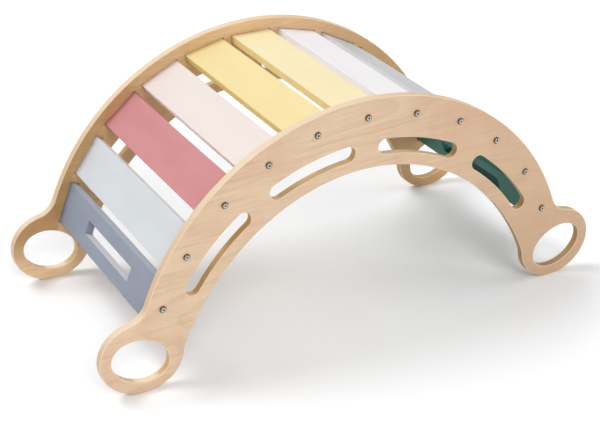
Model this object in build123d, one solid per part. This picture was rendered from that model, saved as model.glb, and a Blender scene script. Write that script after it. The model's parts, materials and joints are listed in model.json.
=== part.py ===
from build123d import *

import os
from math import asin, cos, degrees, hypot, radians, sin, sqrt

# Rocker arch for a child's room: eleven slats between two arched plywood panels.
#
# Each side panel is an arch with four curved slots, and ends in two ring-shaped feet.
# Every slat end stands in a shallow seat milled into the panel, which stops it turning,
# and one domed screw through the panel holds it. The two lowest slats have hand grips.
#
# The frame has +X along the arch, +Y across it and +Z up, and its origin lies on the floor
# under the middle of the arch. Lengths are in millimetres and angles in degrees.

# Panels and the space between them
CLEAR_WIDTH = 404.0  # between the inner faces of the panels
PANEL_THICKNESS = 15.0
PANEL_EDGE_ROUND = 2.0

# Screw circle, which also carries the middle of every slat
SCREW_RADIUS = 400.0
SCREW_CENTRE_HEIGHT = 2.5

# Outer edge of the arch: a circle outside the screw circle, with its centre a little higher
OUTER_BAND = 25.6
OUTER_CENTRE_RISE = 5.9

# Inner edge of the arch: an upright ellipse with its centre below the floor
INNER_BAND_AT_CROWN = 92.2  # below the screw circle
INNER_BAND_AT_SIDE = 27.6  # from the screw circle to the ellipse's widest point
INNER_CENTRE_DROP = 116.0

# Ring feet: a tilted oval hole inside a rounder, less tilted outline
RING_HOLE_LONG = 51.8  # half lengths
RING_HOLE_SHORT = 38.2
RING_HOLE_TILT = 22.0
RING_WALL_LONG = 22.0
RING_WALL_SHORT = 27.8
RING_OUTLINE_TILT = 10.5
RING_SIDE_SETBACK = 0.7  # of the ring's inner side from the line of the inner edge
RING_HOLE_SHIFT_OUT = 2.8  # of the hole in the outline, away from the arch
RING_HOLE_SHIFT_DOWN = 5.6
THROAT_RADIUS = 42.0  # hollow between the arch's outer edge and the ring
HEEL_RADIUS = 60.0  # between the arch's inner edge and the ring

# Curved slots along the panel, at equal spacing on their own circle
SLOT_COUNT = 4
SLOT_WIDTH = 27.4
SLOT_SPAN = 20.4  # angle between the centres of a slot's round ends
SLOT_PITCH = 31.2  # angle from one slot to the next
SLOT_SETBACK = 19.3  # slot circle's radius is this much less than the screw circle's
SLOT_CENTRE_DROP = 38.0  # slot circle's centre is this much below the screw circle's

# Slats
SLAT_COUNT = 11
SLAT_WIDTH = 78.0
SLAT_THICKNESS = 15.0
SLAT_EDGE_ROUND = 2.0
SLAT_GAP = 16.2  # between neighbours, on the screw circle
SHOULDER_GAP = 23.7  # the one wider gap on each side
SLATS_ABOVE_SHOULDER = 3  # on each side of the crown slat

# Hand grips cut through the first and last slat
GRIP_LENGTH = 190.0
GRIP_HEIGHT = 25.5
GRIP_CORNER = 3.0
GRIP_EDGE_ROUND = 1.0

# Seats for the slat ends in the panels' inner faces
SEAT_DEPTH = 4.0
SEAT_CLEARANCE = 1.0
SEAT_RELIEF_RADIUS = 3.0  # round relief that the milling cutter leaves at each corner

# Wood screws with domed heads and a hexagon socket
HEAD_DIAMETER = 12.0
HEAD_HEIGHT = 3.3
HEAD_FLAT_DIAMETER = 6.2  # flat top of the dome
HEAD_RIM_HEIGHT = 0.6
HEAD_BULGE = 0.6  # of the dome, beyond a straight cone
SOCKET_WIDTH = 4.0  # across flats
SOCKET_DEPTH = 2.0
SHANK_DIAMETER = 6.2
SHANK_HOLE_CLEARANCE = 0.3  # on the diameter
CORE_DIAMETER = 4.5
CORE_HOLE_CLEARANCE = 0.1  # on the diameter
CORE_LENGTH = 38.0  # into the slat, with its point
POINT_LENGTH = 5.0
PILOT_HOLE_EXTRA_DEPTH = 3.0

TOUCHING = 0.01  # nearer than this counts as on a line

# Worked out from the sizes above
OUTER_RADIUS = SCREW_RADIUS + OUTER_BAND
OUTER_CENTRE_HEIGHT = SCREW_CENTRE_HEIGHT + OUTER_CENTRE_RISE
INNER_CENTRE_HEIGHT = SCREW_CENTRE_HEIGHT - INNER_CENTRE_DROP
INNER_HALF_WIDTH = SCREW_RADIUS - INNER_BAND_AT_SIDE
INNER_HALF_HEIGHT = SCREW_RADIUS + INNER_CENTRE_DROP - INNER_BAND_AT_CROWN
RING_LONG = RING_HOLE_LONG + RING_WALL_LONG
RING_SHORT = RING_HOLE_SHORT + RING_WALL_SHORT
SLOT_RADIUS = SCREW_RADIUS - SLOT_SETBACK
SLOT_CENTRE_HEIGHT = SCREW_CENTRE_HEIGHT - SLOT_CENTRE_DROP
SLAT_LENGTH = CLEAR_WIDTH + 2 * SEAT_DEPTH


def half_reach(long_half, short_half, tilt, direction):
    """Distance from the centre of a tilted ellipse to its outermost line in a direction."""
    turn = radians(direction - tilt)
    return hypot(long_half * cos(turn), short_half * sin(turn))


def inner_edge_reach(height):
    """Distance from the middle of the arch to its inner edge at a height."""
    rise = (height - INNER_CENTRE_HEIGHT) / INNER_HALF_HEIGHT
    return INNER_HALF_WIDTH * sqrt(1 - rise**2)


# Each ring stands on the floor, with its side near the line of the inner edge at mid-height
RING_CENTRE_HEIGHT = half_reach(RING_LONG, RING_SHORT, RING_OUTLINE_TILT, 90)
RING_SIDE_REACH = inner_edge_reach(RING_CENTRE_HEIGHT) + RING_SIDE_SETBACK
RING_CENTRE_REACH = RING_SIDE_REACH + half_reach(RING_LONG, RING_SHORT, RING_OUTLINE_TILT, 0)


def slat_angles():
    """Angles of the slats from the crown, from the -X end to the +X end."""
    step = 2 * degrees(asin((SLAT_WIDTH + SLAT_GAP) / 2 / SCREW_RADIUS))
    shoulder_step = 2 * degrees(asin((SLAT_WIDTH + SHOULDER_GAP) / 2 / SCREW_RADIUS))
    one_side = []
    angle = 0.0
    for number in range(1, SLAT_COUNT // 2 + 1):
        angle += shoulder_step if number == SLATS_ABOVE_SHOULDER + 1 else step
        one_side.append(angle)
    return [-angle for angle in reversed(one_side)] + [0.0] + one_side


def on_panel(angle):
    """Place of a slat end on the panel's flat, with its thickness pointing out of the arch."""
    reach = SCREW_RADIUS * sin(radians(angle))
    height = SCREW_CENTRE_HEIGHT + SCREW_RADIUS * cos(radians(angle))
    return Pos(reach, height) * Rot(0, 0, -angle)


def both_ends(sketch):
    """A flat shape at the +X end of the arch, with its mirror image at the other end."""
    return sketch + mirror(sketch, about=Plane.YZ)


def arch_outline():
    """Flat outline of a panel, before its two corners at each foot are rounded."""
    disc = Pos(0, OUTER_CENTRE_HEIGHT) * Circle(OUTER_RADIUS)
    above_feet = Pos(0, RING_CENTRE_HEIGHT / 2) * Rectangle(
        4 * OUTER_RADIUS, 2 * OUTER_RADIUS, align=(Align.CENTER, Align.MIN)
    )
    ring = Pos(RING_CENTRE_REACH, RING_CENTRE_HEIGHT) * Rot(0, 0, RING_OUTLINE_TILT) * Ellipse(
        RING_LONG, RING_SHORT
    )
    inner = Pos(0, INNER_CENTRE_HEIGHT) * Ellipse(INNER_HALF_WIDTH, INNER_HALF_HEIGHT)
    return (disc & above_feet) - inner + both_ends(ring)


def ring_holes():
    """Oval hand holes in the two ring feet."""
    centre = Pos(RING_CENTRE_REACH + RING_HOLE_SHIFT_OUT, RING_CENTRE_HEIGHT - RING_HOLE_SHIFT_DOWN)
    return both_ends(centre * Rot(0, 0, RING_HOLE_TILT) * Ellipse(RING_HOLE_LONG, RING_HOLE_SHORT))


def curved_slots():
    """Round-ended slots that follow the arch."""
    slots = Sketch()
    for number in range(SLOT_COUNT):
        start = 90 + (number - (SLOT_COUNT - 1) / 2) * SLOT_PITCH - SLOT_SPAN / 2
        middle_line = CenterArc((0, SLOT_CENTRE_HEIGHT), SLOT_RADIUS, start, SLOT_SPAN)
        slots += SlotArc(middle_line, SLOT_WIDTH)
    return slots


def slat_seat():
    """Flat shape of one seat: the slat's end with clearance, and a relief at each corner."""
    across = SLAT_WIDTH + 2 * SEAT_CLEARANCE
    thick = SLAT_THICKNESS + 2 * SEAT_CLEARANCE
    inset = SEAT_RELIEF_RADIUS / sqrt(2)
    corners = GridLocations(across - 2 * inset, thick - 2 * inset, 2, 2)
    return Rectangle(across, thick) + corners * Circle(SEAT_RELIEF_RADIUS)


def on_outer_edge(edge):
    """Whether an upright edge of a panel blank is the corner between arch and ring."""
    place = edge.center()
    return abs(hypot(place.X, place.Y - OUTER_CENTRE_HEIGHT) - OUTER_RADIUS) < TOUCHING


def on_inner_edge(edge):
    """Whether an upright edge of a panel blank is the corner between ring and inner edge."""
    place = edge.center()
    near_foot = place.Y < 2 * RING_CENTRE_HEIGHT
    return near_foot and abs(abs(place.X) - inner_edge_reach(place.Y)) < TOUCHING


def side_panel():
    """A panel lying flat, with its inner face at height 0 and its outer face up."""
    blank = extrude(arch_outline(), PANEL_THICKNESS)
    upright = blank.edges().filter_by(Axis.Z)
    blank = fillet(upright.filter_by(on_outer_edge), THROAT_RADIUS)
    upright = blank.edges().filter_by(Axis.Z)
    blank = fillet(upright.filter_by(on_inner_edge), HEEL_RADIUS)
    blank -= extrude(ring_holes() + curved_slots(), PANEL_THICKNESS)
    faces = blank.faces().filter_by(Axis.Z).sort_by(Axis.Z)
    blank = fillet(faces[0].edges() + faces[-1].edges(), PANEL_EDGE_ROUND)

    seat = slat_seat()
    shank_hole = Circle((SHANK_DIAMETER + SHANK_HOLE_CLEARANCE) / 2)
    for angle in slat_angles():
        blank -= extrude(on_panel(angle) * seat, SEAT_DEPTH)
        blank -= extrude(on_panel(angle) * shank_hole, PANEL_THICKNESS)
    return blank


def slat(with_grip):
    """A slat across the arch, centred, with its outer face up and a pilot hole in each end."""
    board = Box(SLAT_WIDTH, SLAT_LENGTH, SLAT_THICKNESS)
    board = fillet(board.edges().filter_by(Axis.Y), SLAT_EDGE_ROUND)
    if with_grip:
        grip = RectangleRounded(GRIP_HEIGHT, GRIP_LENGTH, GRIP_CORNER)
        board -= extrude(grip, SLAT_THICKNESS / 2, both=True)
        faces = board.faces().filter_by(Axis.Z).sort_by(Axis.Z)
        rims = [wire.edges() for face in (faces[0], faces[-1]) for wire in face.inner_wires()]
        board = fillet([edge for rim in rims for edge in rim], GRIP_EDGE_ROUND)
    depth = CORE_LENGTH + PILOT_HOLE_EXTRA_DEPTH
    pilot = Rot(90, 0, 0) * Cylinder((CORE_DIAMETER + CORE_HOLE_CLEARANCE) / 2, depth)
    for end in (-1, 1):
        board -= Pos(0, end * (SLAT_LENGTH - depth) / 2, 0) * pilot
    return board


def parted_at_seats(board):
    """The same slat, with its skin parted where the slat leaves its seats and the paint begins."""
    in_the_open = Box(SLAT_WIDTH, CLEAR_WIDTH, SLAT_THICKNESS)
    lengths = [board & in_the_open, *(board - in_the_open).solids()]
    cut_line = CLEAR_WIDTH / 2
    skin = [
        face
        for length in lengths
        for face in length.faces()
        if abs(abs(face.center().Y) - cut_line) > TOUCHING
    ]
    return Solid(Shell(skin))


def screw():
    """A screw standing point down, with the underside of its head at height 0."""
    shank_length = PANEL_THICKNESS - SEAT_DEPTH
    head = HEAD_DIAMETER / 2
    flat = HEAD_FLAT_DIAMETER / 2
    shank = SHANK_DIAMETER / 2
    core = CORE_DIAMETER / 2
    tip = -shank_length - CORE_LENGTH
    dome = SagittaArc((flat, HEAD_HEIGHT), (head, HEAD_RIM_HEIGHT), HEAD_BULGE)
    profile = Polyline(
        (flat, HEAD_HEIGHT),
        (0, HEAD_HEIGHT),
        (0, tip),
        (core, tip + POINT_LENGTH),
        (core, -shank_length),
        (shank, -shank_length),
        (shank, 0),
        (head, 0),
        (head, HEAD_RIM_HEIGHT),
    )
    section = make_face(Plane.XZ * Wire([*profile.edges(), dome]))
    body = revolve(section, Axis.Z)
    socket = Pos(0, 0, HEAD_HEIGHT - SOCKET_DEPTH) * extrude(
        RegularPolygon(SOCKET_WIDTH / 2, 6, major_radius=False), SOCKET_DEPTH
    )
    return body - socket


def side_screws():
    """The screws of a panel that lies flat, with their heads on its outer face."""
    one = Pos(0, 0, PANEL_THICKNESS) * screw()
    return Compound([on_panel(angle) * one for angle in slat_angles()])


def export(shape, name):
    """Write one node."""
    export_step(shape, f"parts/{name}.step")


os.makedirs("parts", exist_ok=True)

front_plane = Plane(origin=(0, -CLEAR_WIDTH / 2, 0), x_dir=(1, 0, 0), z_dir=(0, -1, 0))
front_panel = front_plane * side_panel()
front_screws = front_plane * side_screws()
export(front_panel, "side_panel_front")
export(mirror(front_panel, about=Plane.XZ), "side_panel_back")
export(front_screws, "screws_front")
export(mirror(front_screws, about=Plane.XZ), "screws_back")

for number, angle in enumerate(slat_angles(), start=1):
    board = parted_at_seats(slat(with_grip=number in (1, SLAT_COUNT)))
    crown = Pos(0, 0, SCREW_CENTRE_HEIGHT) * Rot(0, angle, 0) * Pos(0, 0, SCREW_RADIUS)
    export(crown * board, f"slat_{number:02d}")
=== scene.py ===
"""Gives a slatted plywood rocker arch its finished look, around its packed solids.

Lengths are in metres and angles in radians, in the frame of the solids: +X along the arch,
+Y across it and +Z up, with the origin on the floor under the middle of the arch.
"""

import json
import math
import random

import bmesh
import bpy
from bpy.props import (
    FloatProperty,
    FloatVectorProperty,
    IntProperty,
    PointerProperty,
)
from mathutils import Euler, Matrix, Vector


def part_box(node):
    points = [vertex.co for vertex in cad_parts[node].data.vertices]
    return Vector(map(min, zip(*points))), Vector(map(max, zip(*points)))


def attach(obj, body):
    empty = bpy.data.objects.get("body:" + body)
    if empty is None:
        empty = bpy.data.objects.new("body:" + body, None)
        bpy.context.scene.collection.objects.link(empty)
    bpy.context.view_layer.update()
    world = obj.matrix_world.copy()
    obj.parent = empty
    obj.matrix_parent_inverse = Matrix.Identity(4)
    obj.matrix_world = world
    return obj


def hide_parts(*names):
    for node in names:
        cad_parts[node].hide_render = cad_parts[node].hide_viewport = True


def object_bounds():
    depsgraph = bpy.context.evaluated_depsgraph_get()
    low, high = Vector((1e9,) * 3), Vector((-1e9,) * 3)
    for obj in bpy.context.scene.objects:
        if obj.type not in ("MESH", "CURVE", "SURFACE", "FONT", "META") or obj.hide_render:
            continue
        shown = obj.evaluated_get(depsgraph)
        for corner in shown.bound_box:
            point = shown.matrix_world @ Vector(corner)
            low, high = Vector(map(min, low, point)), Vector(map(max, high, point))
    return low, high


bl_info = {
    "name": "Rocker Arch Dresser",
    "version": (1, 0, 0),
    "blender": (4, 5, 0),
    "location": "3D View > Sidebar > Rocker Arch",
    "description": "Paints, varnishes and lights a slatted plywood rocker arch",
    "category": "Object",
}

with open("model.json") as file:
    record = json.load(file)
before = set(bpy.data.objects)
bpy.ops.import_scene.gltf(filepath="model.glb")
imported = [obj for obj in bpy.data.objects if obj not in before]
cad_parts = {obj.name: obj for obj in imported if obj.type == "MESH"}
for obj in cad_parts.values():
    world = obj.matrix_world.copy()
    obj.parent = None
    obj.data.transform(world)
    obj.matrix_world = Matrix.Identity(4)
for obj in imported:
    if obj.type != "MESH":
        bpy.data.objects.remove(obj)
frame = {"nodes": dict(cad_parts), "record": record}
SOLIDS_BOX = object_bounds()
MM = 0.001

# Two places this close together are the same
CLOSE = 0.01 * MM


def box_middle(node):
    """The middle of a solid's box."""
    low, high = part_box(node)
    return (low + high) / 2


def box_size(node):
    """The size of a solid's box along each axis."""
    low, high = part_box(node)
    return high - low


SLATS = sorted(name for name in frame["nodes"] if name.startswith("slat_"))
CROWN_SLAT = SLATS[len(SLATS) // 2]
END_SLATS = (SLATS[0], SLATS[-1])
SLAT_SIZE = box_size(CROWN_SLAT)
PANEL_THICKNESS = box_size("side_panel_front").y
PANEL_INNER_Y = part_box("side_panel_back")[0].y
PANEL_OUTER_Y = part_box("side_panel_back")[1].y
ARCH_MIDDLE = (SOLIDS_BOX[0] + SOLIDS_BOX[1]) / 2


def slat_circle_height():
    """Height of the centre of the circle that the slats' middles lie on."""
    crown = box_middle(CROWN_SLAT)
    end = box_middle(END_SLATS[1])
    return (crown.z**2 - end.x**2 - end.z**2) / (2 * (crown.z - end.z))


CIRCLE_HEIGHT = slat_circle_height()
OUTER_RADIUS = SOLIDS_BOX[1].z - CIRCLE_HEIGHT

# Middle of the hole in the +X ring, along the arch and up from the floor
END_HOLE_MIDDLE = (SOLIDS_BOX[1].x - 70.8 * MM, 60.7 * MM)


def slat_lean(node):
    """Angle by which a slat leans from the crown towards +X."""
    middle = box_middle(node)
    return math.atan2(middle.x, middle.z - CIRCLE_HEIGHT)


# ---------------------------------------------------------------- sizes and colours


def screen_colour(red, green, blue):
    """A colour given as a screen shows it, 0 to 255, turned into linear light."""

    def linear(level):
        share = level / 255
        return share / 12.92 if share <= 0.04045 else ((share + 0.055) / 1.055) ** 2.4

    return linear(red), linear(green), linear(blue)


def colour_property(label, about, colour):
    """A property for a colour in linear light."""
    return FloatVectorProperty(
        name=label,
        description=about,
        default=colour,
        size=3,
        min=0.0,
        max=1.0,
        subtype="COLOR",
    )


def paint_property(label, red, green, blue):
    """A property for the paint of one slat."""
    about = f"Paint on the slat: {label.lower()}"
    return colour_property(label, about, screen_colour(red, green, blue))


def share_property(label, about, share):
    """A property for a share, from none at 0 to all at 1."""
    return FloatProperty(
        name=label,
        description=about,
        default=share,
        min=0.0,
        max=1.0,
        subtype="FACTOR",
    )


def length_property(label, about, length, least=0.0):
    """A property for a length."""
    return FloatProperty(
        name=label,
        description=about,
        default=length,
        min=least,
        unit="LENGTH",
    )


def angle_property(label, about, degrees):
    """A property for an angle, given in degrees."""
    return FloatProperty(
        name=label,
        description=about,
        default=math.radians(degrees),
        subtype="ANGLE",
    )


def light_property(label, about, strength):
    """A property for the strength of a light."""
    return FloatProperty(name=label, description=about, default=strength, min=0.0)


class RockerPaints(bpy.types.PropertyGroup):
    """Paint of each slat, from the -X end to the +X end."""

    slat_01: paint_property("Blue-grey", 140, 146, 161)
    slat_02: paint_property("Pale grey", 207, 211, 214)
    slat_03: paint_property("Rose", 201, 134, 136)
    slat_04: paint_property("Blush", 229, 217, 212)
    slat_05: paint_property("Straw", 234, 214, 156)
    slat_06: paint_property("Cream", 236, 221, 178)
    slat_07: paint_property("White", 234, 231, 233)
    slat_08: paint_property("Light grey", 190, 189, 191)
    slat_09: paint_property("Mist", 190, 200, 202)
    slat_10: paint_property("Sage", 104, 142, 128)
    slat_11: paint_property("Dark green", 34, 103, 90)


class RockerPaintFilm(bpy.types.PropertyGroup):
    """How the paint lies on the boards."""

    roughness: share_property("Roughness", "Roughness of the dry paint", 0.42)
    gloss: share_property("Gloss", "Strength of the reflections in the paint", 0.15)
    grain_depth: length_property(
        "Grain depth", "Height of the wood grain that shows through the paint", 0.06 * MM
    )
    stipple_depth: length_property(
        "Stipple depth", "Height of the fine stipple that the roller leaves", 0.03 * MM
    )
    mottle: share_property("Mottle", "How much the paint's tone varies over a board", 0.025)
    # Painted light: the lower sides' colour is deepened as warm bounce light would show it
    side_depth: FloatProperty(
        name="Side depth",
        description="How much deeper the colour is on the slats' lower sides, "
        "where the coat is thicker",
        default=0.6,
        min=0.0,
        max=2.0,
    )
    # Painted light: the lower sides are painted brighter than the faces
    side_lift: FloatProperty(
        name="Side lift",
        description="How much brighter the slats' lower sides are than their faces",
        default=1.25,
        min=0.5,
        max=2.0,
    )
    # Painted highlight: the slats' upper sides are painted paler
    upper_side_highlight: share_property(
        "Upper fade",
        "How much the paint has faded on the slats' upper sides, towards the crown",
        0.28,
    )
    # Painted highlight: the sill of the -X hand grip is painted paler
    sill_highlight: share_property(
        "Sill polish", "How much the paint has paled on the hand grip's sill at the -X end", 0.6
    )
    sill_shade: share_property(
        "Sill shade", "How much darker the hand grip's sill is at the +X end", 0.5
    )
    # Painted highlight along the rounded edges, patchy like wear
    rubbed_edge: share_property(
        "Rubbed edge", "How much lighter the paint is where it thins over the rounded edges", 0.4
    )


class RockerPlywood(bpy.types.PropertyGroup):
    """The varnished birch plywood of the side panels."""

    veneer: colour_property("Veneer", "Main tone of the face veneer", screen_colour(240, 209, 175))
    late_wood: colour_property(
        "Late wood", "Darker tone of the figure lines in the veneer", screen_colour(204, 160, 122)
    )
    blush: colour_property(
        "Blush", "Pinker tone of the broad patches in the veneer", screen_colour(233, 195, 164)
    )
    cut_edge: colour_property(
        "Cut edge", "Golden tone of the plies in the cut edges", screen_colour(240, 212, 168)
    )
    # Painted light: cut edges that face up are painted cream
    lit_edge: colour_property(
        "Bleached edge",
        "Cream tone of the cut edges where they face up",
        screen_colour(250, 240, 217),
    )
    # Paler ply where the rounding cuts through the face veneer, with a painted highlight along it
    sanded_and_lit_edge: colour_property(
        "Sanded edge",
        "Pale tone where the rounding cuts through the face veneer",
        screen_colour(244, 222, 192),
    )
    end_grain: colour_property(
        "End grain", "Darker tone of the plies that are cut across", screen_colour(168, 126, 82)
    )
    glue: colour_property(
        "Glue line", "Tone of the thin lines between the plies", screen_colour(126, 88, 56)
    )
    # Painted shade: the inner faces are tinted golden and darker
    inner_shade_tint: colour_property(
        "Inner tint", "Golden tint of the varnish on the panels' inner faces", (0.96, 0.935, 0.79)
    )
    shaded_tint: colour_property(
        "Shaded tint",
        "Deeper tint of the inner faces under the slats and over the +X half",
        (0.84, 0.76, 0.62),
    )
    # Painted shade towards the -X end of the inner faces
    low_end_shade_tint: colour_property(
        "Low end tint",
        "Deeper tint that the inner faces reach towards the -X end",
        (0.59, 0.49, 0.33),
    )
    # Painted shade: the outer faces are painted slightly darker
    outer_shade_tint: colour_property(
        "Outer tint",
        "Slight darkening of the varnish on the panels' outer faces",
        (0.85, 0.85, 0.84),
    )
    # Painted shade on the walls of the slots and holes that don't face up
    hollow_shade_tint: colour_property(
        "Hollow tint",
        "Golden tint of the walls of the slots where they don't face up",
        (1.0, 0.93, 0.66),
    )
    # Painted shade on the walls that face -X and on the +X ring's cut edges
    aside_shade_tint: colour_property(
        "Aside tint",
        "Deeper tint of the slots' walls that face -X, and of the cut edges of the +X ring",
        (0.66, 0.6, 0.5),
    )
    # Painted shade: the veneer darkens towards +X as the light falls off
    tone_drift: share_property("Tone drift", "How much the veneer darkens towards the +X end", 0.6)
    plies: IntProperty(
        name="Plies",
        description="Number of veneers through the panel's thickness",
        default=11,
        min=3,
        max=21,
    )
    grain_turn: angle_property("Grain turn", "Angle of the face grain from the arch's length", 2.0)
    roughness: share_property("Roughness", "Roughness of the satin varnish", 0.44)
    pore_depth: length_property(
        "Pore depth", "Depth of the pores and fibres under the varnish", 0.05 * MM
    )


class RockerBoards(bpy.types.PropertyGroup):
    """Shape of the slats."""

    edge_round: length_property("Edge round", "Radius of the rounding on the long edges", 2.0 * MM)
    end_round: length_property(
        "End round", "Radius of the rounding on the ends, in the seats", 0.4 * MM
    )
    grip_length: length_property(
        "Grip length", "Length of the hand grip through the end slats", 190.0 * MM
    )
    grip_height: length_property("Grip height", "Height of the hand grip", 25.5 * MM)
    grip_corner: length_property("Grip corner", "Radius of the hand grip's corners", 3.0 * MM)
    grip_rim: length_property(
        "Grip rim", "Radius of the rounding on the hand grip's rims", 0.3 * MM
    )


class RockerScrews(bpy.types.PropertyGroup):
    """Shape and finish of the screws."""

    head_radius: length_property("Head radius", "Radius of the domed head", 6.0 * MM)
    head_height: length_property(
        "Head height", "Height of the domed head above the panel", 3.3 * MM
    )
    flat_radius: length_property(
        "Flat radius", "Radius of the flat top of the head, around its socket", 3.1 * MM
    )
    socket_width: length_property(
        "Socket width", "Width of the hexagon socket across its flats", 4.0 * MM
    )
    socket_depth: length_property("Socket depth", "Depth of the hexagon socket", 2.0 * MM)
    shank_radius: length_property(
        "Shank radius", "Radius of the plain shank and of the thread's crest", 3.1 * MM
    )
    core_radius: length_property("Core radius", "Radius of the thread's root", 2.25 * MM)
    thread_length: length_property(
        "Thread length", "Length of the thread in the slat, with its point", 38.0 * MM
    )
    thread_pitch: length_property(
        "Thread pitch", "Distance from crest to crest", 2.6 * MM, least=0.1 * MM
    )
    seat_depth: length_property(
        "Seat depth", "Depth of the slat's seat, which shortens the plain shank", 4.0 * MM
    )
    steel: colour_property("Steel", "Tone of the bright steel", (0.68, 0.65, 0.58))
    # Painted dark reflection round the heads' rims and painted shade in their sockets
    tarnish: colour_property(
        "Tarnish", "Tone of the steel around the head's rim and in its socket", (0.17, 0.135, 0.095)
    )


class RockerStage(bpy.types.PropertyGroup):
    """Camera, lights and floor."""

    camera_place: FloatVectorProperty(
        name="Camera place",
        description="Where the camera stands",
        default=(-1.1372, -2.0596, 1.3612),
        size=3,
        subtype="TRANSLATION",
        unit="LENGTH",
    )
    camera_heading: angle_property(
        "Camera heading", "Turn of the camera from +Y towards +X", 28.781
    )
    camera_dip: angle_property("Camera dip", "How far the camera looks down", 27.619)
    camera_roll: angle_property(
        "Camera roll", "Turn of the camera about its own line of sight", 0.348
    )
    lens: FloatProperty(
        name="Lens",
        description="Focal length for a sensor 36 mm wide, in millimetres",
        default=87.557,
        min=1.0,
    )
    room_light: light_property("Room light", "Strength of the even light from all round", 0.28)
    key_light: light_property("Key light", "Strength of the soft light from above the -X end", 1.65)
    front_light: light_property(
        "Front light", "Strength of the soft light from above the near panel", 1.1
    )
    end_light: light_property(
        "End light", "Strength of the low broad light from beyond the +X end", 1.0
    )
    back_light: light_property("Back light", "Strength of the low broad light from behind", 0.6)
    side_light: light_property(
        "Side light", "Power of the near soft light beside the camera, in watts", 3.0
    )
    floor_tone: colour_property("Floor tone", "Colour of the floor", (0.955, 0.975, 0.995))


PROPERTY_GROUPS = {
    "rocker_paints": RockerPaints,
    "rocker_paint_film": RockerPaintFilm,
    "rocker_plywood": RockerPlywood,
    "rocker_boards": RockerBoards,
    "rocker_screws": RockerScrews,
    "rocker_stage": RockerStage,
}


# ---------------------------------------------------------------- materials

# Marks on the vertices of the boards and screws, which their materials read
EDGE_ATTRIBUTE = "rubbed_edge"
SIDE_ATTRIBUTE = "side_coat"
DARK_REFLECTION_AND_SHADE_ATTRIBUTE = "tarnish"

# What the side marks say: 0 is a face, and a sill is the long wall of a hand grip that faces up
UPPER_SIDE = -1.0
LOWER_SIDE = 1.0
LIT_SILL = -2.0
SHADED_SILL = 2.0


def scaled(colour, share):
    """A colour with each level multiplied."""
    return tuple(level * share for level in colour)


def lightened(colour, power):
    """A colour paled by a power below 1."""
    return tuple(level**power for level in colour)


class Recipe:
    """A material written down as a chain of shader nodes."""

    def __init__(self, name):
        self.material = bpy.data.materials.new(name)
        self.material.use_nodes = True
        self.nodes = self.material.node_tree.nodes
        self.links = self.material.node_tree.links
        self.nodes.clear()
        self.output = self.nodes.new("ShaderNodeOutputMaterial")

    def put(self, socket, value):
        """Link a node's output to a socket, or set the socket to a plain value."""
        if isinstance(value, bpy.types.NodeSocket):
            self.links.new(value, socket)
        elif socket.type == "RGBA":
            socket.default_value = (*value, 1.0)
        else:
            socket.default_value = value

    def node(self, kind, inputs=(), **settings):
        """A new node with its settings and inputs, which are given by name or number."""
        made = self.nodes.new(kind)
        for name, value in settings.items():
            setattr(made, name, value)
        for key, value in dict(inputs).items():
            self.put(made.inputs[key], value)
        return made

    def place(self):
        """Object coordinates, which here are metres in the frame of the solids."""
        return self.node("ShaderNodeTexCoord").outputs["Object"]

    def mark(self, attribute):
        """A mark that is kept on the vertices of the mesh."""
        return self.node("ShaderNodeAttribute", attribute_name=attribute).outputs["Fac"]

    def moved(self, vector, **mapping):
        """A place after a Mapping node with this Location, Rotation or Scale."""
        return self.node("ShaderNodeMapping", {"Vector": vector, **mapping}).outputs[0]

    def axes(self, vector):
        """The X, Y and Z parts of a vector."""
        return self.node("ShaderNodeSeparateXYZ", {0: vector}).outputs

    def distance(self, x, z):
        """Distance of a point of the XZ plane from the origin."""
        point = self.node("ShaderNodeCombineXYZ", {0: x, 1: 0.0, 2: z}).outputs[0]
        made = self.node("ShaderNodeVectorMath", {0: point}, operation="LENGTH")
        return made.outputs["Value"]

    def math(self, operation, *values):
        """A sum on plain numbers."""
        made = self.node("ShaderNodeMath", enumerate(values), operation=operation)
        return made.outputs[0]

    def times(self, first, second):
        """Two numbers multiplied."""
        return self.math("MULTIPLY", first, second)

    def less(self, first, second):
        """The first number less the second."""
        return self.math("SUBTRACT", first, second)

    def noise(self, vector, scale, detail=2.0, roughness=0.5, distortion=0.0):
        """Soft noise from 0 to 1, with about this many features to a metre along each axis."""
        inputs = {
            "Vector": self.moved(vector, Scale=scale),
            "Scale": 1.0,
            "Detail": detail,
            "Roughness": roughness,
            "Distortion": distortion,
        }
        return self.node("ShaderNodeTexNoise", inputs).outputs["Fac"]

    def fade(self, value, start, end, low=0.0, high=1.0):
        """A value carried smoothly from one range to another, and held outside it."""
        inputs = {"Value": value, 1: start, 2: end, 3: low, 4: high}
        made = self.node("ShaderNodeMapRange", inputs, interpolation_type="SMOOTHSTEP")
        return made.outputs[0]

    def mix(self, share, first, second, blend="MIX"):
        """Two colours mixed: none of the second at share 0, all of it at 1."""
        inputs = {0: share, 6: first, 7: second}
        made = self.node("ShaderNodeMix", inputs, data_type="RGBA", blend_type=blend)
        return made.outputs[2]

    def tint(self, share, colour, tint):
        """A colour multiplied by a tint: not at all at share 0, fully at 1."""
        return self.mix(share, colour, tint, blend="MULTIPLY")

    def bump(self, height, depth, **below):
        """Normals of a surface with a height from 0 to 1 on it, of a depth in metres."""
        inputs = {"Strength": 1.0, "Distance": depth, "Height": height, **below}
        return self.node("ShaderNodeBump", inputs).outputs[0]

    def finish(self, **inputs):
        """The material, with its shader's sockets set or linked."""
        sockets = {
            name.replace("_", " ").title().replace("Ior", "IOR"): value
            for name, value in inputs.items()
        }
        shader = self.node("ShaderNodeBsdfPrincipled", sockets)
        self.links.new(shader.outputs[0], self.output.inputs["Surface"])
        return self.material


# The middle of the noise's range, which carries a soft pattern
SOFT = (0.3, 0.7)

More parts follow.
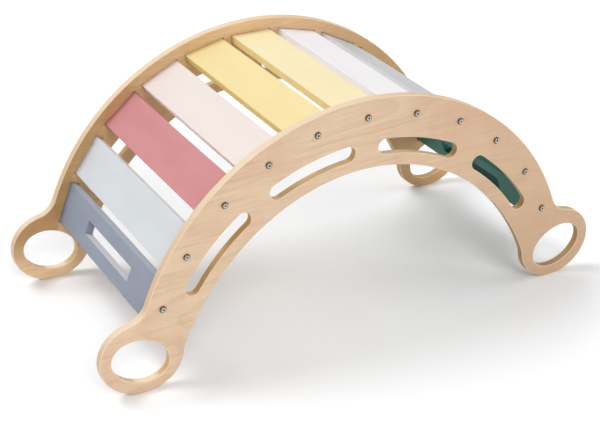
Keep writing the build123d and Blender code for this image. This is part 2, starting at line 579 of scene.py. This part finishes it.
# Features to a metre in the veneer, along the grain, through the panel and across the grain
FIGURE_WAVES = (1.7, 45.0, 6.5)
FIGURE_RIPPLE = (7.0, 45.0, 60.0)
FIGURE_STRENGTH = (3.0, 45.0, 9.0)
STREAKS = (9.0, 60.0, 140.0)
FIBRES = (14.0, 300.0, 520.0)
PORES = (85.0, 900.0, 1500.0)
PATCHES = (3.5, 30.0, 8.0)
SHIMMER = (42.0, 60.0, 9.0)
PLY_SPECKLE = (700.0, 1400.0, 700.0)

# How many growth rings a wave of the figure runs through, and how far the ripple moves them
RINGS_IN_WAVE = 15.0
RING_RIPPLE = 0.35
LATE_WOOD_SHARPNESS = 2.2

# How strongly each pattern shows
FIGURE_SHARE = 0.42
STREAK_SHARE = 0.34
FIBRE_SHARE = 0.34
PORE_SHARE = 0.3
SHIMMER_SHARE = 0.16
CUT_ACROSS_SHARE = 0.6
GLUE_SHARE = 0.55
SANDED_AND_LIT_SHARE = 0.75
LIT_RIM_SHARE = 0.38
LIT_SLOT_SHARE = 0.6

# Each span below says where a tone starts and where it is full: here, depths below a face
TINTED_DEPTH = (2.0 * MM, 1.0 * MM)
SANDED_AND_LIT_DEPTH = (0.02 * MM, 0.5 * MM)
FACE_VENEER_DEPTH = (1.0 * MM, 1.4 * MM)

# Distances from the centre of the slats' circle
UNDER_SLATS_REACH = (OUTER_RADIUS - 15.0 * MM, OUTER_RADIUS - 30.0 * MM)
OUTER_RIM_REACH = (OUTER_RADIUS - 6.0 * MM, OUTER_RADIUS - 4.0 * MM)

# Distances from the middle of the +X ring, just outside its hole
END_HOLE_REACH = (62.0 * MM, 60.0 * MM)

# Places along the arch
DRIFT_ALONG = (-0.15, 0.5)
SHADED_FOOT_ALONG = (0.0, 0.1)
SHADED_HALF_ALONG = (0.05, 0.3)
LOW_END_ALONG = (0.03, -0.42)
ASIDE_ALONG = (-0.1, 0.2)
SHADED_FLOOR_ALONG = (0.1, 0.35)
SHADED_RIM_ALONG = (0.37, 0.41)

# Heights above the floor
ABOVE_FEET = (0.1, 0.2)
ABOVE_RING_FOOT = (0.02, 0.1)
IN_FEET = (0.12, 0.08)

# How far a cut edge faces along an axis: -1 is fully the other way
FACES_UP = (0.86, 0.99)
FACES_ASIDE = (-0.35, -0.8)
LIT_FACING = (0.6, 1.0)


class PlywoodRecipe(Recipe):
    """The plywood of the side panels, with the patterns and places that its tones go by."""

    def __init__(self, name, look):
        super().__init__(name)
        self.look = look
        self.spot = self.place()
        self.grain = self.moved(self.spot, Rotation=(0.0, look.grain_turn, 0.0))
        self.along, across, self.height = self.axes(self.spot)
        self.from_inner = self.less(self.math("ABSOLUTE", across), PANEL_INNER_Y)
        self.from_outer = self.less(PANEL_THICKNESS, self.from_inner)
        self.reach = self.distance(self.along, self.less(self.height, CIRCLE_HEIGHT))
        normal = self.node("ShaderNodeNewGeometry").outputs["Normal"]
        self.facing_x, _, self.facing_z = self.axes(normal)
        self.fibres = self.noise(self.grain, FIBRES, detail=3.0, roughness=0.6)
        self.pores = self.fade(self.noise(self.grain, PORES, detail=1.0), 0.62, 0.76)

    def figure(self):
        """Growth lines, where the veneer knife meets the rings in long waves and arches."""
        waves = self.noise(self.grain, FIGURE_WAVES, detail=1.0, roughness=0.35)
        ripple = self.noise(self.grain, FIGURE_RIPPLE)
        rings = self.math("MULTIPLY_ADD", ripple, RING_RIPPLE, self.times(waves, RINGS_IN_WAVE))
        ring = self.math("FRACT", rings)
        line = self.math("POWER", ring, LATE_WOOD_SHARPNESS)
        line = self.times(line, self.fade(ring, 1.0, 0.9))
        strength = self.noise(self.grain, FIGURE_STRENGTH, detail=1.0)
        return self.times(line, self.fade(strength, 0.35, 0.7, 0.25, 1.0))

    def veneer(self):
        """The face veneer, before the tints that its place gives it."""
        look = self.look
        patches = self.noise(self.grain, PATCHES)
        streaks = self.fade(self.noise(self.grain, STREAKS, distortion=0.3), 0.48, 0.74)
        shimmer = self.noise(self.grain, SHIMMER, detail=1.0)
        face = self.mix(self.fade(patches, 0.4, 0.68), look.veneer, look.blush)
        face = self.mix(self.times(self.figure(), FIGURE_SHARE), face, look.late_wood)
        face = self.mix(self.times(streaks, STREAK_SHARE), face, look.late_wood)
        face = self.mix(self.fade(self.fibres, 0.35, 0.75, high=FIBRE_SHARE), face, look.late_wood)
        face = self.mix(self.times(self.pores, PORE_SHARE), face, look.end_grain)
        return self.mix(self.fade(shimmer, *SOFT, high=SHIMMER_SHARE), face, look.sanded_and_lit_edge)

    def face(self):
        """The veneer with painted shade: darker towards +X, and more golden on the inner faces than
        on the outer.
        """
        look = self.look
        # Painted shade: the veneer darkens towards +X as the light falls off
        drift = self.fade(self.along, *DRIFT_ALONG, high=look.tone_drift)
        face = self.mix(drift, self.veneer(), look.late_wood)
        inner_side = self.fade(self.from_inner, *TINTED_DEPTH)
        outer_side = self.fade(self.from_outer, *TINTED_DEPTH)
        under_slats = self.fade(self.reach, *UNDER_SLATS_REACH)

        # In shade are the +X foot, above the feet all that the slats cover, and the +X half
        shaded = self.fade(self.along, *SHADED_FOOT_ALONG)
        shaded = self.mix(self.fade(self.height, *ABOVE_FEET), shaded, under_slats)
        shaded = self.math("MAXIMUM", shaded, self.fade(self.along, *SHADED_HALF_ALONG))

        # Painted shade deepens the inner faces' tone all the way to the -X end, less so under the
        # slats
        low_end_shade = self.fade(self.along, *LOW_END_ALONG)
        low_end_shade = self.times(low_end_shade, self.fade(self.height, *ABOVE_RING_FOOT))
        low_end_shade = self.times(low_end_shade, self.fade(under_slats, 0.0, 1.0, 1.0, 0.4))

        # Painted shade: the inner faces get a golden shade tint, deeper where they are in shade and
        # towards -X, and the outer faces a slight darkening
        face = self.tint(inner_side, face, look.inner_shade_tint)
        face = self.tint(self.times(inner_side, shaded), face, look.shaded_tint)
        face = self.tint(self.times(inner_side, low_end_shade), face, look.low_end_shade_tint)
        return self.tint(outer_side, face, look.outer_shade_tint)

    def plies(self):
        """The stack of plies. Every second one is cut across: which, goes by the edge's facing."""
        look = self.look
        ply_depth = self.times(self.from_inner, look.plies / PANEL_THICKNESS)
        odd = self.math("MODULO", self.math("FLOOR", ply_depth), 2.0)
        even = self.less(1.0, odd)
        upright = self.math("POWER", self.facing_z, 2.0)
        endwise = self.math("POWER", self.facing_x, 2.0)
        cut_across = self.math("ADD", self.times(odd, upright), self.times(even, endwise))
        in_ply = self.math("FRACT", ply_depth)
        glue_gap = self.math("MINIMUM", in_ply, self.less(1.0, in_ply))
        speckle = self.noise(self.spot, PLY_SPECKLE)
        plies = self.mix(self.fade(speckle, *SOFT, 0.2, 0.5), look.cut_edge, look.late_wood)
        plies = self.mix(self.times(cut_across, CUT_ACROSS_SHARE), plies, look.end_grain)
        return self.mix(self.fade(glue_gap, 0.13, 0.03, high=GLUE_SHARE), plies, look.glue)

    def cut_edge(self):
        """The plies as the outer rim and the walls of the slots and holes show them."""
        look = self.look
        plies = self.plies()
        hole_x, hole_z = END_HOLE_MIDDLE
        end_hole = self.distance(self.less(self.along, hole_x), self.less(self.height, hole_z))
        end_hole = self.fade(end_hole, *END_HOLE_REACH)

        # Painted light: the outer rim is paler where it faces up and a little towards -X, and
        # painted shade darkens it at the +X end
        upward = self.math("MULTIPLY_ADD", self.facing_x, -0.35, self.times(self.facing_z, 0.9))
        lit_share = self.fade(upward, *LIT_FACING, high=LIT_RIM_SHARE)
        rim = self.mix(lit_share, plies, look.lit_edge)
        rim = self.tint(self.fade(self.along, *SHADED_RIM_ALONG), rim, look.aside_shade_tint)

        # Painted light: the slots' floors are paler too, most in the feet and least towards +X, and
        # the slots' other walls get a golden painted shade
        slot_floor = self.fade(self.facing_z, *FACES_UP)
        slot_floor = self.times(slot_floor, self.fade(self.height, *IN_FEET, 0.45, 0.9))
        slot_floor = self.times(slot_floor, self.fade(self.along, *SHADED_FLOOR_ALONG, 1.0, 0.15))
        hollow = self.mix(self.times(slot_floor, LIT_SLOT_SHARE), plies, look.lit_edge)
        hollow = self.tint(1.0, hollow, self.mix(slot_floor, look.hollow_shade_tint, (1.0, 1.0, 1.0)))

        # Painted shade: walls that face -X are darker, most in the +X half, as are the walls of the
        # +X ring's hole
        aside = self.fade(self.facing_x, *FACES_ASIDE)
        aside = self.times(aside, self.fade(self.along, *ASIDE_ALONG, 0.1, 1.0))
        hollow = self.tint(self.math("MAXIMUM", aside, end_hole), hollow, look.aside_shade_tint)

        outside = self.fade(self.reach, *OUTER_RIM_REACH)
        outside = self.math("MINIMUM", outside, self.less(1.0, end_hole))
        return self.mix(outside, hollow, rim)


def plywood_material(look):
    """Varnished birch plywood: figured veneer on the faces, plies in the cut edges."""
    recipe = PlywoodRecipe("birch_plywood", look)
    depth = recipe.math("MINIMUM", recipe.from_inner, recipe.from_outer)
    # Paler cut-through veneer with a painted highlight along the rounded edges
    sanded_and_lit = recipe.times(recipe.fade(depth, *SANDED_AND_LIT_DEPTH), SANDED_AND_LIT_SHARE)
    colour = recipe.mix(sanded_and_lit, recipe.face(), look.sanded_and_lit_edge)
    colour = recipe.mix(recipe.fade(depth, *FACE_VENEER_DEPTH), colour, recipe.cut_edge())
    relief = recipe.math("ADD", recipe.times(recipe.fibres, 0.5), recipe.times(recipe.pores, -0.5))
    gloss = recipe.fade(recipe.fibres, 0.3, 0.8, look.roughness - 0.05, look.roughness + 0.08)
    return recipe.finish(
        base_color=colour,
        roughness=gloss,
        coat_weight=0.2,
        coat_roughness=0.35,
        normal=recipe.bump(relief, look.pore_depth),
    )


# Features to a metre in the paint, across the board, along it and through it
PAINT_CLOUDS = (26.0, 9.0, 26.0)
BOARD_GRAIN = (230.0, 5.0, 230.0)
ROLLER_STIPPLE = (1100.0, 1100.0, 1100.0)

# The brightest level that the painted light lets the lower sides reach, how far the painted edge
# highlight pales, and how much rougher the worn edges are
BRIGHTEST_SIDE = 0.95
EDGE_HIGHLIGHT_POWER = 0.7
RUBBED_ROUGHNESS = 0.35
PAINT_GRAIN_SHARE = 0.35


def paint_material(name, colour, film, seed):
    """Satin paint on a board whose grain runs along Y and shows faintly through it."""
    recipe = Recipe(name)
    place = recipe.moved(recipe.place(), Location=(seed, 0.0, seed))
    clouds = recipe.noise(place, PAINT_CLOUDS, detail=3.0)
    grain = recipe.noise(place, BOARD_GRAIN, detail=3.0, roughness=0.6)
    stipple = recipe.noise(place, ROLLER_STIPPLE)
    side = recipe.mark(SIDE_ATTRIBUTE)
    edge_mark = recipe.mark(EDGE_ATTRIBUTE)

    light = tuple(level + (1.0 - level) * film.mottle for level in colour)
    deep = scaled(colour, 1.0 - film.mottle)
    body = recipe.mix(recipe.fade(clouds, *SOFT), deep, light)
    body = recipe.mix(recipe.fade(grain, 0.45, 0.8, high=PAINT_GRAIN_SHARE), body, deep)

    # Painted light and shade come in between the marks of the faces, of the sides and of the sills:
    # lower sides brighter and deeper, upper sides paler, the -X sill paler and the +X sill darker
    lift = min(film.side_lift, BRIGHTEST_SIDE / max(colour))
    lit_lower_side = tuple(lift * level * (level / max(colour)) ** film.side_depth for level in colour)
    for start, end, tone in (
        (0.1, LOWER_SIDE, lit_lower_side),
        (-0.1, UPPER_SIDE, lightened(colour, 1.0 - film.upper_side_highlight)),
        (-1.2, 0.95 * LIT_SILL, lightened(colour, 1.0 - film.sill_highlight)),
        (1.2, 0.95 * SHADED_SILL, scaled(colour, 1.0 - film.sill_shade)),
    ):
        body = recipe.mix(recipe.fade(side, start, end), body, tone)

    # Painted highlight along the rounded edges, patchy like wear
    edge_highlight_share = recipe.times(edge_mark, recipe.fade(clouds, 0.2, 0.6, 0.6, 1.0))
    edge_highlight_share = recipe.times(recipe.fade(edge_highlight_share, 0.2, 1.0), film.rubbed_edge)
    body = recipe.mix(edge_highlight_share, body, lightened(colour, EDGE_HIGHLIGHT_POWER))

    dryness = recipe.fade(clouds, 0.2, 0.8, film.roughness - 0.04, film.roughness + 0.04)
    grain_normal = recipe.bump(grain, film.grain_depth)
    return recipe.finish(
        base_color=body,
        roughness=recipe.math("MULTIPLY_ADD", edge_mark, RUBBED_ROUGHNESS, dryness),
        specular_ior_level=film.gloss,
        normal=recipe.bump(stipple, film.stipple_depth, Normal=grain_normal),
    )


# Features to a metre on the steel and on the floor, all ways alike
STEEL_SMEARS = (900.0, 900.0, 900.0)
STEEL_TURNING = (4000.0, 4000.0, 4000.0)
FLOOR_CLOUDS = (0.8, 0.8, 0.8)
TURNING_DEPTH = 0.004 * MM


def steel_material(steel, tarnish):
    """Bright steel with a fine turned finish, with a painted dark reflection around the heads' rims
    and painted shade in their sockets.
    """
    recipe = Recipe("bright_steel")
    place = recipe.place()
    smear = recipe.noise(place, STEEL_SMEARS)
    turning = recipe.noise(place, STEEL_TURNING, detail=1.0)
    colour = recipe.mix(recipe.fade(smear, 0.35, 0.7), steel, scaled(steel, 0.8))
    colour = recipe.mix(recipe.fade(recipe.mark(DARK_REFLECTION_AND_SHADE_ATTRIBUTE), 0.1, 0.9), colour, tarnish)
    return recipe.finish(
        base_color=colour,
        metallic=0.9,
        roughness=recipe.fade(smear, *SOFT, 0.1, 0.2),
        normal=recipe.bump(turning, TURNING_DEPTH),
    )


def floor_material(tone):
    """Pale matt studio floor, with faint unevenness."""
    recipe = Recipe("studio_floor")
    clouds = recipe.noise(recipe.place(), FLOOR_CLOUDS)
    colour = recipe.mix(recipe.fade(clouds, *SOFT), scaled(tone, 0.985), tone)
    return recipe.finish(base_color=colour, roughness=0.6)


# ---------------------------------------------------------------- modelling


def deselect_all():
    """Leave nothing selected, in object mode."""
    bpy.ops.object.select_all(action="DESELECT")


def select_only(piece):
    """Select one piece, in object mode, and make it the active one."""
    deselect_all()
    piece.select_set(True)
    bpy.context.view_layer.objects.active = piece


def name_piece(piece, name):
    """Give a piece and its mesh the same name."""
    piece.name = name
    piece.data.name = name


def pick(kind, test):
    """In edit mode, select only the edges or faces that pass a test."""
    bpy.ops.mesh.select_mode(type=kind)
    bpy.ops.mesh.select_all(action="DESELECT")
    mesh = bpy.context.object.data
    work = bmesh.from_edit_mesh(mesh)
    for part in work.edges if kind == "EDGE" else work.faces:
        part.select_set(test(part))
    bmesh.update_edit_mesh(mesh)


def edge_middle(edge):
    """The middle point of an edge."""
    return (edge.verts[0].co + edge.verts[1].co) / 2


def edge_runs_along(edge, axis):
    """Whether an edge runs along an axis, given as 0, 1 or 2."""
    run = (edge.verts[1].co - edge.verts[0].co).normalized()
    return abs(run[axis]) > 0.999


def edge_lies_at(edge, axis, distance):
    """Whether both ends of an edge are this far out along an axis, on either side of 0."""
    return all(abs(abs(vertex.co[axis]) - distance) < CLOSE for vertex in edge.verts)


def is_rim(edge, height):
    """Whether an edge lies between a flat face at a height and an upright wall."""
    at_wall = any(abs(face.normal.z) < 0.1 for face in edge.link_faces)
    return at_wall and edge_lies_at(edge, 2, height)


def smooth_shading(piece):
    """Smooth the roundings and keep the flats flat."""
    select_only(piece)
    bpy.ops.object.shade_smooth_by_angle(angle=math.radians(35.0))
    weighted = piece.modifiers.new("flat_faces_stay_flat", "WEIGHTED_NORMAL")
    weighted.keep_sharp = True
    bpy.ops.object.modifier_apply(modifier=weighted.name)


def settle(piece, place, turn):
    """Move a piece to its place, with the place and turn in its mesh, not in its object."""
    select_only(piece)
    piece.location = place
    piece.rotation_euler = turn
    bpy.ops.object.transform_apply(location=True, rotation=True, scale=True)


def mark_vertices(piece, attribute, marks):
    """Keep a mark on each vertex, for the material to read."""
    kept = piece.data.attributes.new(attribute, "FLOAT", "POINT")
    kept.data.foreach_set("value", marks)


def mark_board(board, half, shape, upper):
    """Mark how far each vertex lies round the long edges, and which side or sill it is on.

    The upper side of a slat, towards the crown, is on its own +X or -X side: upper is 1 or -1.
    The sill is the long wall of the hand grip that faces the same way. It gets a painted highlight
    on the slat at the -X end, and painted shade on the one at the +X end.
    """
    sill = -upper * shape.grip_height / 2
    sill_mark = LIT_SILL if upper > 0 else SHADED_SILL
    skin = 0.1 * MM
    edges = []
    sides = []
    for vertex in board.data.vertices:
        x, y, z = vertex.co
        across = max(0.0, abs(x) - (half.x - shape.edge_round)) / shape.edge_round
        through = max(0.0, abs(z) - (half.z - shape.edge_round)) / shape.edge_round
        edges.append(min(1.0, 2.0 * min(across, through)))
        side = 0.0
        if across > 0.8:
            side = UPPER_SIDE if x * upper > 0 else LOWER_SIDE
        in_grip = abs(y) < shape.grip_length / 2 and abs(z) < half.z - skin
        if in_grip and abs(x - sill) < skin:
            side = sill_mark
        sides.append(side)
    mark_vertices(board, EDGE_ATTRIBUTE, edges)
    mark_vertices(board, SIDE_ATTRIBUTE, sides)


def cut_grip(shape, half):
    """In edit mode, cut the hand grip through a board and round its corners and rims."""
    across = shape.grip_height / 2
    along = shape.grip_length / 2
    for plane_at, facing in (
        ((across, 0, 0), (1, 0, 0)),
        ((-across, 0, 0), (1, 0, 0)),
        ((0, along, 0), (0, 1, 0)),
        ((0, -along, 0), (0, 1, 0)),
    ):
        bpy.ops.mesh.select_all(action="SELECT")
        bpy.ops.mesh.bisect(plane_co=plane_at, plane_no=facing)

    def in_grip(point, margin=CLOSE):
        return abs(point.x) < across + margin and abs(point.y) < along + margin

    pick("FACE", lambda face: abs(face.normal.z) > 0.9 and in_grip(face.calc_center_median(), -MM))
    bpy.ops.mesh.bridge_edge_loops()
    pick("EDGE", lambda edge: edge_runs_along(edge, 2) and in_grip(edge_middle(edge)))
    bpy.ops.mesh.bevel(offset=shape.grip_corner, segments=6, affect="EDGES")
    pick("EDGE", lambda edge: is_rim(edge, half.z) and in_grip(edge_middle(edge)))
    bpy.ops.mesh.bevel(offset=shape.grip_rim, segments=3, affect="EDGES")


def model_board(name, shape, with_grip, upper):
    """A board lying flat at the origin, with its length along Y and its upper side at +X or -X."""
    half = SLAT_SIZE / 2
    deselect_all()
    bpy.ops.mesh.primitive_cube_add(size=1.0)
    board = bpy.context.object
    name_piece(board, name)
    board.scale = SLAT_SIZE
    bpy.ops.object.transform_apply(location=False, rotation=False, scale=True)
    bpy.ops.object.mode_set(mode="EDIT")
    pick("EDGE", lambda edge: edge_runs_along(edge, 1))
    bpy.ops.mesh.bevel(offset=shape.edge_round, segments=5, affect="EDGES")
    pick("EDGE", lambda edge: edge_lies_at(edge, 1, half.y))
    bpy.ops.mesh.bevel(offset=shape.end_round, segments=1, affect="EDGES")
    if with_grip:
        cut_grip(shape, half)
    bpy.ops.object.mode_set(mode="OBJECT")
    mark_board(board, half, shape, upper)
    smooth_shading(board)
    return board


def trace_profile(name, points):
    """A line through points of the XZ plane, drawn from a single vertex. It stays in edit mode."""
    deselect_all()
    bpy.ops.mesh.primitive_plane_add(size=MM)
    line = bpy.context.object
    name_piece(line, name)
    bpy.ops.object.mode_set(mode="EDIT")
    bpy.ops.mesh.select_mode(type="VERT")
    bpy.ops.mesh.select_all(action="SELECT")
    bpy.ops.mesh.merge(type="CENTER")
    spots = [Vector((x, 0.0, z)) for x, z in points]
    bpy.ops.transform.translate(value=spots[0])
    for before, after in zip(spots, spots[1:]):
        bpy.ops.mesh.extrude_vertices_move(TRANSFORM_OT_translate={"value": after - before})
    return line


def screw_profile(shape):
    """Half outline of a screw, from the middle of its head down to its point."""
    plain = PANEL_THICKNESS - shape.seat_depth
    point_length = 5.0 * MM

    # The head: its dome goes from the flat top down to an upright rim
    flat_share = 0.96
    dome_start, dome_turn, dome_steps = math.radians(10.0), math.radians(80.0), 7
    rim_height = 0.6 * MM
    rim_round = 0.15 * MM

    # The thread: its crests lie a little inside the plain shank, past the middle of each pitch
    runout = 0.3 * MM
    first_root = 0.6 * MM
    crest_inset = 0.1 * MM
    crest_share = 0.55

    points = [(0.0, shape.head_height), (shape.flat_radius * flat_share, shape.head_height)]
    for step in range(dome_steps + 1):
        turn = dome_start + step / dome_steps * dome_turn
        points.append((
            shape.flat_radius + (shape.head_radius - shape.flat_radius) * math.sin(turn),
            rim_height + (shape.head_height - rim_height) * math.cos(turn),
        ))
    points += [
        (shape.head_radius, rim_round),
        (shape.head_radius - rim_round, 0.0),
        (shape.shank_radius, 0.0),
        (shape.shank_radius, -plain),
        (shape.core_radius, -plain - runout),
    ]
    for turn in range(int((shape.thread_length - point_length) / shape.thread_pitch)):
        root = -plain - first_root - turn * shape.thread_pitch
        points.append((shape.core_radius, root))
        points.append((shape.shank_radius - crest_inset, root - shape.thread_pitch * crest_share))
    points.append((shape.core_radius, -plain - shape.thread_length + point_length))
    points.append((0.0, -plain - shape.thread_length))
    return points


def cut_socket(screw, shape):
    """Sink the hexagon socket into a screw's head, with its mouth opened a little."""
    corner_radius = shape.socket_width / 2 / math.cos(math.radians(30.0))
    mouth = 0.25 * MM
    deselect_all()
    bpy.ops.mesh.primitive_cylinder_add(
        vertices=6,
        radius=corner_radius,
        depth=shape.socket_depth,
        location=(0, 0, shape.head_height - shape.socket_depth / 2),
    )
    cutter = bpy.context.object
    bpy.ops.object.transform_apply(location=True, rotation=True, scale=True)
    bpy.ops.object.mode_set(mode="EDIT")
    pick("FACE", lambda face: face.normal.z > 0.9)
    bpy.ops.transform.translate(value=(0, 0, -mouth))
    bpy.ops.mesh.extrude_region_move(TRANSFORM_OT_translate={"value": (0, 0, 2 * mouth)})
    spread = 1.0 + 2 * mouth / corner_radius
    bpy.ops.transform.resize(value=(spread, spread, 1.0))
    bpy.ops.object.mode_set(mode="OBJECT")
    socket = screw.modifiers.new("socket", "BOOLEAN")
    socket.operation = "DIFFERENCE"
    socket.object = cutter
    socket.solver = "EXACT"
    select_only(screw)
    bpy.ops.object.modifier_apply(modifier=socket.name)
    bpy.data.objects.remove(cutter)


def mark_screw(screw, shape):
    """Mark how dark the steel is painted on each vertex: a dark reflection round the head's rim and
    shade down in its socket.
    """
    socket_reach = 0.9 * shape.flat_radius
    socket_darkening = 1.5
    rim_start, rim_width = 0.56, 0.12
    marks = []
    for vertex in screw.data.vertices:
        reach = math.hypot(vertex.co.x, vertex.co.y)
        if reach < socket_reach:
            dark = socket_darkening * (shape.head_height - vertex.co.z) / shape.socket_depth
        else:
            dark = (reach / shape.head_radius - rim_start) / rim_width
        marks.append(min(1.0, max(0.0, dark)))
    mark_vertices(screw, DARK_REFLECTION_AND_SHADE_ATTRIBUTE, marks)


def model_screw(name, shape):
    """A screw standing on its point, with the underside of its head at height 0."""
    screw = trace_profile(name, screw_profile(shape))
    bpy.ops.mesh.select_all(action="SELECT")
    bpy.ops.mesh.spin(steps=36, angle=math.tau, center=(0, 0, 0), axis=(0, 0, 1))
    bpy.ops.mesh.select_all(action="SELECT")
    bpy.ops.mesh.remove_doubles(threshold=0.001 * MM)
    bpy.ops.mesh.normals_make_consistent(inside=False)
    bpy.ops.object.mode_set(mode="OBJECT")
    cut_socket(screw, shape)
    mark_screw(screw, shape)
    smooth_shading(screw)
    return screw


# ---------------------------------------------------------------- operators

# The screws stand as the screwdriver left them, each turned its own way
SCREW_TURN_SEED = 7

# Each far light's name, where it shines from and the width of its disc in degrees
FAR_LIGHTS = (
    ("key", (-0.5, 0.45, 1.0), 32.0),
    ("front", (-0.2, -1.1, 1.0), 28.0),
    ("end", (1.73, -0.58, 1.0), 50.0),
    ("back", (0.0, 2.14, 1.0), 60.0),
)

# The near light, and how far the floor and the camera's view go
SIDE_LIGHT_PLACE = (-1.6, -1.9, 0.9)
SIDE_LIGHT_WIDTH = 1.0
FLOOR_WIDTH = 400.0
VIEW_DEPTH = 1000.0

# In millimetres
SENSOR_WIDTH = 36.0


class ROCKER_OT_dress_panels(bpy.types.Operator):
    """Give the two side panels their varnished birch plywood"""

    bl_idname = "rocker.dress_panels"
    bl_label = "Dress Side Panels"

    def execute(self, context):
        plywood = plywood_material(context.scene.rocker_plywood)
        for side in ("front", "back"):
            for slot in frame["nodes"][f"side_panel_{side}"].material_slots:
                slot.material = plywood
        return {"FINISHED"}


class ROCKER_OT_make_boards(bpy.types.Operator):
    """Model the painted slats, the two end ones with a hand grip"""

    bl_idname = "rocker.make_boards"
    bl_label = "Make Painted Slats"

    def execute(self, context):
        scene = context.scene
        slots = {part["node"]: part["material_slot"] for part in frame["record"]["subparts"]}
        for number, node in enumerate(SLATS):
            lean = slat_lean(node)
            past_crown = lean > math.radians(1.0)
            upper = -1.0 if past_crown else 1.0
            board = model_board(f"board_{node[-2:]}", scene.rocker_boards, node in END_SLATS, upper)
            settle(board, box_middle(node), Euler((0.0, lean, 0.0)))
            colour = tuple(getattr(scene.rocker_paints, node))
            board.data.materials.append(
                paint_material(slots[node], colour, scene.rocker_paint_film, number)
            )
            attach(board, "root")
            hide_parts(node)
        return {"FINISHED"}


class ROCKER_OT_make_screws(bpy.types.Operator):
    """Model one screw and set a copy of it into each end of every slat"""

    bl_idname = "rocker.make_screws"
    bl_label = "Make Screws"

    def execute(self, context):
        shape = context.scene.rocker_screws
        steel = steel_material(tuple(shape.steel), tuple(shape.tarnish))
        pattern = model_screw("screw_pattern", shape)
        hand = random.Random(SCREW_TURN_SEED)
        for side, outward in (("front", -1.0), ("back", 1.0)):
            copies = []
            for node in SLATS:
                middle = box_middle(node)
                copy = pattern.copy()
                copy.data = pattern.data.copy()
                context.scene.collection.objects.link(copy)
                last_turn = Matrix.Rotation(hand.uniform(0.0, math.tau), 3, "Z")
                stand = Matrix.Rotation(-outward * math.pi / 2, 3, "X") @ last_turn
                settle(copy, (middle.x, outward * PANEL_OUTER_Y, middle.z), stand.to_euler())
                copies.append(copy)
            select_only(copies[0])
            for copy in copies:
                copy.select_set(True)
            bpy.ops.object.join()
            screws = context.view_layer.objects.active
            name_piece(screws, f"{side}_screws")
            screws.data.materials.clear()
            screws.data.materials.append(steel)
            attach(screws, "root")
            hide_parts(f"screws_{side}")
        bpy.data.objects.remove(pattern)
        return {"FINISHED"}


class ROCKER_OT_set_stage(bpy.types.Operator):
    """Put down the floor and set up the lights and the camera"""

    bl_idname = "rocker.set_stage"
    bl_label = "Set Stage"

    def execute(self, context):
        stage = context.scene.rocker_stage
        self.lay_floor(stage)
        self.light_room(context.scene, stage)
        self.aim_camera(context.scene, stage)
        return {"FINISHED"}

    def lay_floor(self, stage):
        """A wide pale floor under the feet."""
        deselect_all()
        bpy.ops.mesh.primitive_plane_add(size=FLOOR_WIDTH)
        floor = bpy.context.object
        floor.name = "studio_floor"
        floor.data.materials.append(floor_material(tuple(stage.floor_tone)))

    def light_room(self, scene, stage):
        """Weak light from all round, four far soft lights and a near one."""
        world = bpy.data.worlds.new("studio")
        world.use_nodes = True
        backdrop = world.node_tree.nodes["Background"]
        backdrop.inputs["Color"].default_value = (1.0, 1.0, 1.0, 1.0)
        backdrop.inputs["Strength"].default_value = stage.room_light
        scene.world = world
        scene.view_settings.view_transform = "Standard"
        for name, place, width in FAR_LIGHTS:
            strength = getattr(stage, f"{name}_light")
            lamp = self.hang_lamp("SUN", name, strength, place, Vector(place))
            lamp.data.angle = math.radians(width)
        from_arch = Vector(SIDE_LIGHT_PLACE) - ARCH_MIDDLE
        lamp = self.hang_lamp("AREA", "side", stage.side_light, SIDE_LIGHT_PLACE, from_arch)
        lamp.data.shape = "SQUARE"
        lamp.data.size = SIDE_LIGHT_WIDTH

    def hang_lamp(self, kind, name, strength, place, backwards):
        """A light at a place, turned so that its back points along a direction."""
        deselect_all()
        bpy.ops.object.light_add(type=kind, location=place)
        lamp = bpy.context.object
        lamp.name = f"{name}_light"
        lamp.rotation_euler = backwards.to_track_quat("Z", "Y").to_euler()
        lamp.data.energy = strength
        return lamp

    def aim_camera(self, scene, stage):
        """The camera, level with an adult's chest and turned down to the arch."""
        deselect_all()
        bpy.ops.object.camera_add(location=stage.camera_place)
        camera = bpy.context.object
        look = Euler((math.pi / 2 - stage.camera_dip, 0.0, -stage.camera_heading)).to_matrix()
        roll = Matrix.Rotation(stage.camera_roll, 3, "Z")
        camera.rotation_euler = (look @ roll).to_euler()
        camera.data.sensor_width = SENSOR_WIDTH
        camera.data.lens = stage.lens
        camera.data.clip_end = VIEW_DEPTH
        scene.camera = camera


class ROCKER_PT_sidebar(bpy.types.Panel):
    """The steps that dress the arch, and their sizes and colours"""

    bl_idname = "ROCKER_PT_sidebar"
    bl_label = "Rocker Arch"
    bl_space_type = "VIEW_3D"
    bl_region_type = "UI"
    bl_category = "Rocker Arch"

    def draw(self, context):
        for operator in OPERATORS:
            self.layout.operator(operator.bl_idname)
        for name, group in PROPERTY_GROUPS.items():
            box = self.layout.box()
            box.label(text=group.__doc__)
            for field in group.__annotations__:
                box.prop(getattr(context.scene, name), field)


OPERATORS = (
    ROCKER_OT_dress_panels,
    ROCKER_OT_make_boards,
    ROCKER_OT_make_screws,
    ROCKER_OT_set_stage,
)
CLASSES = (*PROPERTY_GROUPS.values(), *OPERATORS, ROCKER_PT_sidebar)


def register():
    """Register the classes and hang the property groups on the scene."""
    for each in CLASSES:
        bpy.utils.register_class(each)
    for name, group in PROPERTY_GROUPS.items():
        setattr(bpy.types.Scene, name, PointerProperty(type=group))


def unregister():
    """Take the property groups off the scene and unregister the classes."""
    for name in PROPERTY_GROUPS:
        delattr(bpy.types.Scene, name)
    for each in reversed(CLASSES):
        bpy.utils.unregister_class(each)


def main():
    """Dress the arch and set the stage."""
    register()
    bpy.ops.rocker.dress_panels()
    bpy.ops.rocker.make_boards()
    bpy.ops.rocker.make_screws()
    bpy.ops.rocker.set_stage()


if __name__ == "__main__":
    main()
